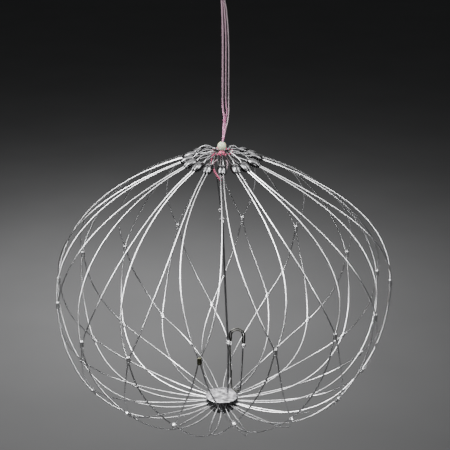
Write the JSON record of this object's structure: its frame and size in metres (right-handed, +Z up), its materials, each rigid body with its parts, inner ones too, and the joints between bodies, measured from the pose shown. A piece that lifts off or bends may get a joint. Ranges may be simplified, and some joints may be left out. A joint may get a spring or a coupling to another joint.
{
  "type": "folding crab trap",
  "caption": "Globe-shaped folding crab trap of spring wire fingers on a round hub, closed by a pull cord with a stop bead; bait clip on a centre rod.",
  "frame": {"origin": "where a hook carries the loop at the top of the pull cord", "axes": "+Z up along the pull cord, front towards -Y"},
  "size_m": [0.3214, 0.3214, 0.4412],
  "materials": {
    "spring_wire": "bright drawn spring wire",
    "rib_wire": "bright drawn spring wire with a crimped sleeve",
    "weight_zinc": "die-cast zinc, dull grey, worn brighter on its crowns",
    "hub_plate": "galvanised sheet with mottled spangle",
    "hub_spool": "black, semi-matt",
    "rod_wire": "dark grey drawn wire",
    "ferrule": "bright crimped ferrule",
    "clip_wire": "spring wire",
    "bead_plastic": "pale green-white, slightly translucent",
    "cord": "pink twisted nylon cord"
  },
  "bodies": {
    "root": {"bait_hook": "clip_wire", "centre_rod": "rod_wire", "hang_loop": "cord", "hub_spool": "hub_spool", "hub_top_plate": "hub_plate", "latch_bead": "ferrule", "pull_cord": "cord", "purse_cord": "cord", "purse_knot": "cord", "rib_pair_01": "rib_wire", "rib_pair_02": "rib_wire", "rib_pair_03": "rib_wire", "rib_pair_04": "rib_wire", "rib_pair_05": "rib_wire", "rib_pair_06": "rib_wire", "rib_pair_07": "rib_wire", "rib_pair_08": "rib_wire", "rib_pair_09": "rib_wire", "rib_pair_10": "rib_wire", "rib_pair_11": "rib_wire", "rib_pair_12": "rib_wire", "rib_pair_13": "rib_wire", "rib_pair_14": "rib_wire", "rib_pair_15": "rib_wire", "rib_pair_16": "rib_wire", "rod_ferrule": "ferrule"},
    "finger_body_01": {"finger_01": "spring_wire", "weight_01": "weight_zinc"},
    "finger_body_02": {"finger_02": "spring_wire", "weight_02": "weight_zinc"},
    "finger_body_03": {"finger_03": "spring_wire", "weight_03": "weight_zinc"},
    "finger_body_04": {"finger_04": "spring_wire", "weight_04": "weight_zinc"},
    "finger_body_05": {"finger_05": "spring_wire", "weight_05": "weight_zinc"},
    "finger_body_06": {"finger_06": "spring_wire", "weight_06": "weight_zinc"},
    "finger_body_07": {"finger_07": "spring_wire", "weight_07": "weight_zinc"},
    "finger_body_08": {"finger_08": "spring_wire", "weight_08": "weight_zinc"},
    "finger_body_09": {"finger_09": "spring_wire", "weight_09": "weight_zinc"},
    "finger_body_10": {"finger_10": "spring_wire", "weight_10": "weight_zinc"},
    "finger_body_11": {"finger_11": "spring_wire", "weight_11": "weight_zinc"},
    "finger_body_12": {"finger_12": "spring_wire", "weight_12": "weight_zinc"},
    "finger_body_13": {"finger_13": "spring_wire", "weight_13": "weight_zinc"},
    "finger_body_14": {"finger_14": "spring_wire", "weight_14": "weight_zinc"},
    "finger_body_15": {"finger_15": "spring_wire", "weight_15": "weight_zinc"},
    "finger_body_16": {"finger_16": "spring_wire", "weight_16": "weight_zinc"},
    "bead": {"stop_bead": "bead_plastic"},
    "pin": {"bait_pin": "clip_wire"}
  },
  "joints": [
    {"name": "finger_fold_01", "type": "hinge", "parent": "root", "child": "finger_body_01", "pos_m": [0.01096, -0.15673, -0.301], "axis": [0.9976, 0.0698, 0], "range_deg": [0, 100]},
    {"name": "finger_fold_02", "type": "hinge", "parent": "root", "child": "finger_body_02", "pos_m": [0.0701, -0.14061, -0.301], "axis": [0.8949, 0.4462, 0], "range_deg": [0, 100]},
    {"name": "finger_fold_03", "type": "hinge", "parent": "root", "child": "finger_body_03", "pos_m": [0.11858, -0.10308, -0.301], "axis": [0.6561, 0.7547, 0], "range_deg": [0, 100]},
    {"name": "finger_fold_04", "type": "hinge", "parent": "root", "child": "finger_body_04", "pos_m": [0.149, -0.04985, -0.301], "axis": [0.3173, 0.9483, 0], "range_deg": [0, 100]},
    {"name": "finger_fold_05", "type": "hinge", "parent": "root", "child": "finger_body_05", "pos_m": [0.15673, 0.01096, -0.301], "axis": [-0.0698, 0.9976, 0], "range_deg": [0, 100]},
    {"name": "finger_fold_06", "type": "hinge", "parent": "root", "child": "finger_body_06", "pos_m": [0.14061, 0.0701, -0.301], "axis": [-0.4462, 0.8949, 0], "range_deg": [0, 100]},
    {"name": "finger_fold_07", "type": "hinge", "parent": "root", "child": "finger_body_07", "pos_m": [0.10308, 0.11858, -0.301], "axis": [-0.7547, 0.6561, 0], "range_deg": [0, 100]},
    {"name": "finger_fold_08", "type": "hinge", "parent": "root", "child": "finger_body_08", "pos_m": [0.04985, 0.149, -0.301], "axis": [-0.9483, 0.3173, 0], "range_deg": [0, 100]},
    {"name": "finger_fold_09", "type": "hinge", "parent": "root", "child": "finger_body_09", "pos_m": [-0.01096, 0.15673, -0.301], "axis": [-0.9976, -0.0698, 0], "range_deg": [0, 100]},
    {"name": "finger_fold_10", "type": "hinge", "parent": "root", "child": "finger_body_10", "pos_m": [-0.0701, 0.14061, -0.301], "axis": [-0.8949, -0.4462, 0], "range_deg": [0, 100]},
    {"name": "finger_fold_11", "type": "hinge", "parent": "root", "child": "finger_body_11", "pos_m": [-0.11858, 0.10308, -0.301], "axis": [-0.6561, -0.7547, 0], "range_deg": [0, 100]},
    {"name": "finger_fold_12", "type": "hinge", "parent": "root", "child": "finger_body_12", "pos_m": [-0.149, 0.04985, -0.301], "axis": [-0.3173, -0.9483, 0], "range_deg": [0, 100]},
    {"name": "finger_fold_13", "type": "hinge", "parent": "root", "child": "finger_body_13", "pos_m": [-0.15673, -0.01096, -0.301], "axis": [0.0698, -0.9976, 0], "range_deg": [0, 100]},
    {"name": "finger_fold_14", "type": "hinge", "parent": "root", "child": "finger_body_14", "pos_m": [-0.14061, -0.0701, -0.301], "axis": [0.4462, -0.8949, 0], "range_deg": [0, 100]},
    {"name": "finger_fold_15", "type": "hinge", "parent": "root", "child": "finger_body_15", "pos_m": [-0.10308, -0.11858, -0.301], "axis": [0.7547, -0.6561, 0], "range_deg": [0, 100]},
    {"name": "finger_fold_16", "type": "hinge", "parent": "root", "child": "finger_body_16", "pos_m": [-0.04985, -0.149, -0.301], "axis": [0.9483, -0.3173, 0], "range_deg": [0, 100]},
    {"name": "bead_slide", "type": "slide", "parent": "root", "child": "bead", "axis": [0, 0, 1], "range_m": [0, 0.06]},
    {"name": "bait_pin_turn", "type": "hinge", "parent": "root", "child": "pin", "pos_m": [0.0152, 0.002, -0.4192], "axis": [0, 1, 0], "range_deg": [0, 30]}
  ],
  "couplings": [
    {"joint": "finger_fold_02", "follows": "finger_fold_01", "ratio": 1},
    {"joint": "finger_fold_03", "follows": "finger_fold_01", "ratio": 1},
    {"joint": "finger_fold_04", "follows": "finger_fold_01", "ratio": 1},
    {"joint": "finger_fold_05", "follows": "finger_fold_01", "ratio": 1},
    {"joint": "finger_fold_06", "follows": "finger_fold_01", "ratio": 1},
    {"joint": "finger_fold_07", "follows": "finger_fold_01", "ratio": 1},
    {"joint": "finger_fold_08", "follows": "finger_fold_01", "ratio": 1},
    {"joint": "finger_fold_09", "follows": "finger_fold_01", "ratio": 1},
    {"joint": "finger_fold_10", "follows": "finger_fold_01", "ratio": 1},
    {"joint": "finger_fold_11", "follows": "finger_fold_01", "ratio": 1},
    {"joint": "finger_fold_12", "follows": "finger_fold_01", "ratio": 1},
    {"joint": "finger_fold_13", "follows": "finger_fold_01", "ratio": 1},
    {"joint": "finger_fold_14", "follows": "finger_fold_01", "ratio": 1},
    {"joint": "finger_fold_15", "follows": "finger_fold_01", "ratio": 1},
    {"joint": "finger_fold_16", "follows": "finger_fold_01", "ratio": 1}
  ]
}
